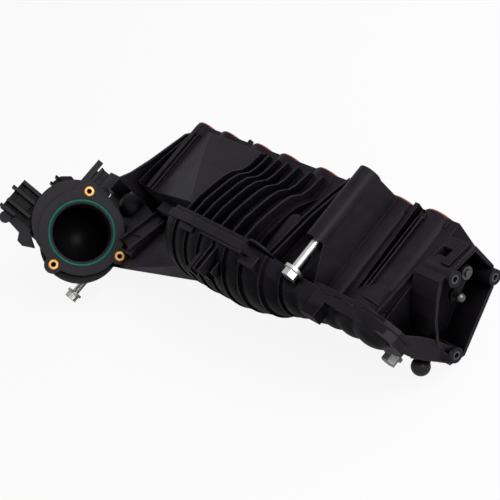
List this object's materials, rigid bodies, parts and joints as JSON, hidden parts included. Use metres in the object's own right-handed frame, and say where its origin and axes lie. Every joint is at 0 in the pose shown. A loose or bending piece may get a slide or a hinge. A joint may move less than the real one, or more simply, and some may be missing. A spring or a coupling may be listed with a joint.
{
  "type": "intake manifold",
  "caption": "Moulded plastic intake manifold with ribbed plenum, angled throttle flange, swirl flaps, sealed runner ports, captive fixing bolts and an open actuator bay.",
  "frame": {"origin": "middle of the row of ports, on the port face", "axes": "+X along the row of cylinders towards the actuator bay, +Y out of the ports into the cylinder head, +Z towards the ribbed top side"},
  "size_m": [0.4946, 0.2094, 0.1448],
  "materials": {
    "shell_plastic": "moulded satin",
    "port_rubber": "matte",
    "seal_rubber": "satin",
    "insert_brass": "turned",
    "bush_plastic": "natural",
    "zinc_steel": "zinc plated",
    "bright_steel": "ground",
    "lever_plastic": "moulded",
    "black_rubber": "satin"
  },
  "bodies": {
    "housing": {"upper_shell": "shell_plastic", "lower_shell": "shell_plastic", "inlet_elbow": "shell_plastic", "actuator_bay": "shell_plastic", "port_seals": "port_rubber", "throttle_seal": "seal_rubber", "throttle_inserts": "insert_brass", "boss_inserts": "insert_brass", "shaft_bushes": "bush_plastic", "bolt_sleeves": "zinc_steel", "bolt_keepers": "bush_plastic", "cover_ball": "black_rubber", "locating_pegs": "shell_plastic", "plug_holder": "shell_plastic", "hose_clip": "shell_plastic"},
    "flap_assembly": {"flap_shaft": "bright_steel", "flap_plates": "bright_steel", "crank_lever": "lever_plastic", "lever_ball": "bright_steel", "lever_clip": "zinc_steel"},
    "centre_bolt_body": {"centre_bolt": "zinc_steel"},
    "right_bolt_body": {"right_bolt": "zinc_steel"},
    "left_bolt_body": {"left_bolt": "zinc_steel"}
  },
  "joints": [
    {"name": "flap_turn", "type": "hinge", "parent": "housing", "child": "flap_assembly", "pos_m": [0, -0.029, 0], "axis": [1, 0, 0], "range_deg": [0, 75]},
    {"name": "centre_bolt_slide", "type": "slide", "parent": "housing", "child": "centre_bolt_body", "axis": [0, 1, 0], "range_m": [0, 0.0269]},
    {"name": "right_bolt_slide", "type": "slide", "parent": "housing", "child": "right_bolt_body", "axis": [0, 1, 0], "range_m": [0, 0.0269]},
    {"name": "left_bolt_slide", "type": "slide", "parent": "housing", "child": "left_bolt_body", "axis": [0, 1, 0], "range_m": [0, 0.0269]}
  ]
}
